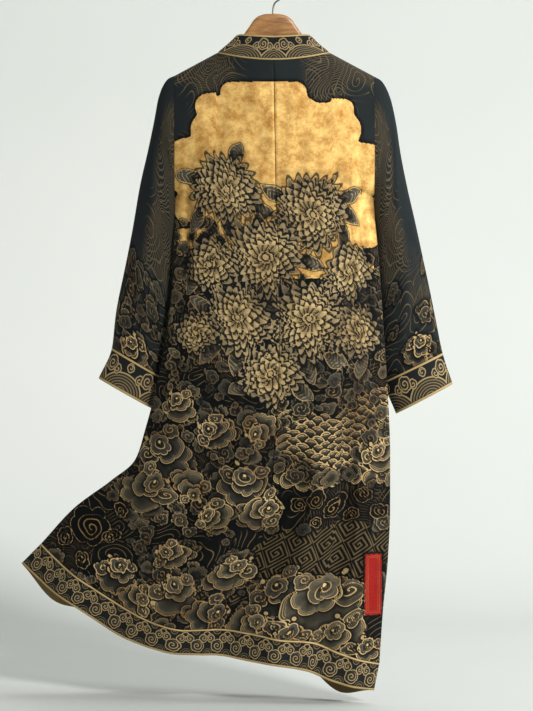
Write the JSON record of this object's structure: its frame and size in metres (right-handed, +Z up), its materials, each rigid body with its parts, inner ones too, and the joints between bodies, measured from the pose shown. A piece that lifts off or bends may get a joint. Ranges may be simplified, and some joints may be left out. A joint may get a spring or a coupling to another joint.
{
  "type": "long kimono on a hanger",
  "caption": "Long open kimono robe with bordered sleeves, hem and neckband, hung on a wooden hanger with a wire hook, its skirt swept to one side.",
  "frame": {"origin": "the point under the hook's crown where the hanger hangs on a rail", "axes": "+Z up; the robe's back faces -Y and its open fronts face +Y; -X is the wearer's left, where the skirt is swept"},
  "size_m": [0.883, 0.2506, 1.4383],
  "materials": {
    "body_cloth": "soft matte printed cloth",
    "border_cloth": "printed border with golden lines",
    "hanger_wood": "satin varnish",
    "hanger_wire": "satin"
  },
  "bodies": {
    "root": {"back_left": "body_cloth", "back_right": "body_cloth", "front_left": "body_cloth", "front_right": "body_cloth", "sleeve_left": "body_cloth", "sleeve_right": "body_cloth", "cuff_left": "border_cloth", "cuff_right": "border_cloth", "hem_back": "border_cloth", "hem_front_left": "border_cloth", "hem_front_right": "border_cloth", "collar": "border_cloth", "hanger_bar": "hanger_wood", "hanger_hook": "hanger_wire"}
  },
  "joints": []
}
